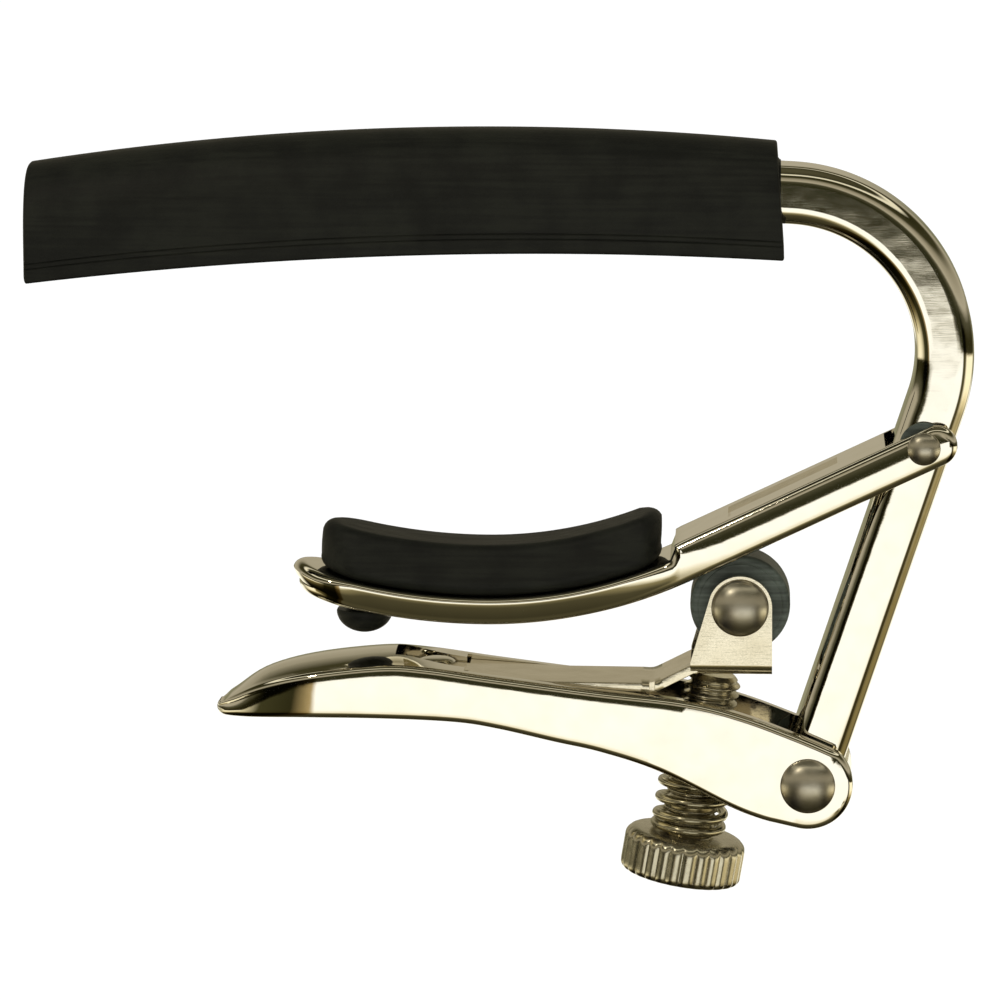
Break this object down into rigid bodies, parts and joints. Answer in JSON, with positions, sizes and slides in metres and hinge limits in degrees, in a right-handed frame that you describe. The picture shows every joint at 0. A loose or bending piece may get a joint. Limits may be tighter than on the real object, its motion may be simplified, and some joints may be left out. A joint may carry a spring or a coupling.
{
  "type": "guitar capo",
  "caption": "Lever-action guitar capo: a rubber-sleeved bar over the strings, a padded arm behind the neck, and an over-centre hand lever with a roller and a thumbscrew adjuster.",
  "frame": {"origin": "lowest point of the sleeve's underside at the crown of its bow, on the middle plane, where the strings bear", "axes": "+X along the sleeved bar towards its bend, +Z away from the strings, Y across the bar's width"},
  "size_m": [0.0816, 0.0126, 0.0665],
  "materials": {
    "nickel_plate": "polished nickel plate over brass, warm silver with faint hairline scratches",
    "rubber": "moulded black rubber, matte with a faint drag grain along the bar",
    "rivet_steel": "plated steel rivets with softly peened domes",
    "spring_strip": "plated spring-steel strip with a rough sheared edge",
    "black_nylon": "turned black nylon",
    "knurled_nickel": "nickel-plated turned thumbscrew with a fluted rim",
    "spring_wire": "plated spring wire"
  },
  "bodies": {
    "frame": {"frame_bar": "nickel_plate", "bar_sleeve": "rubber", "arm_pivot_rivet": "rivet_steel", "arm_washer_near": "black_nylon", "arm_washer_far": "black_nylon", "lever_pivot_rivet": "rivet_steel", "lever_washer_near": "black_nylon", "lever_washer_far": "black_nylon"},
    "arm": {"neck_arm": "nickel_plate", "neck_pad": "rubber"},
    "hand_lever": {"lever": "nickel_plate", "carrier_rivet": "rivet_steel"},
    "carrier": {"roller_carrier": "spring_strip", "roller_pin": "rivet_steel", "roller_bush": "rivet_steel"},
    "roller_wheel": {"roller": "black_nylon"},
    "screw_slide": {"adjuster_spring": "spring_wire"},
    "screw": {"thumbscrew": "knurled_nickel"}
  },
  "joints": [
    {"name": "lever_pivot", "type": "hinge", "parent": "frame", "child": "hand_lever", "pos_m": [0.0214, 0, -0.0461], "axis": [0, -1, 0], "range_deg": [0, 105]},
    {"name": "arm_pivot", "type": "hinge", "parent": "frame", "child": "arm", "pos_m": [0.03104, 0, -0.0166], "axis": [0, -1, 0], "range_deg": [0, 9.45]},
    {"name": "carrier_flex", "type": "hinge", "parent": "hand_lever", "child": "carrier", "pos_m": [-0.011, 0, -0.03714], "axis": [0, -1, 0], "range_deg": [-4, 0.5]},
    {"name": "roller_spin", "type": "hinge", "parent": "carrier", "child": "roller_wheel", "pos_m": [0.01545, 0, -0.03072], "axis": [0, -1, 0], "continuous": true},
    {"name": "screw_travel", "type": "slide", "parent": "hand_lever", "child": "screw_slide", "axis": [0.165, 0, 0.9863], "range_m": [-0.00159, 0.0002], "deforming": ["adjuster_spring"]},
    {"name": "thumbscrew_turn", "type": "hinge", "parent": "screw_slide", "child": "screw", "pos_m": [0.0112, 0, -0.0498], "axis": [0.165, 0, 0.9863], "range_deg": [-721, 91]}
  ],
  "couplings": [
    {"joint": "arm_pivot", "follows": "lever_pivot", "ratio": 0.09},
    {"joint": "thumbscrew_turn", "follows": "screw_travel", "rad_per_m": 7915.8},
    {"joint": "carrier_flex", "follows": "screw_travel", "rad_per_m": 42.35}
  ]
}
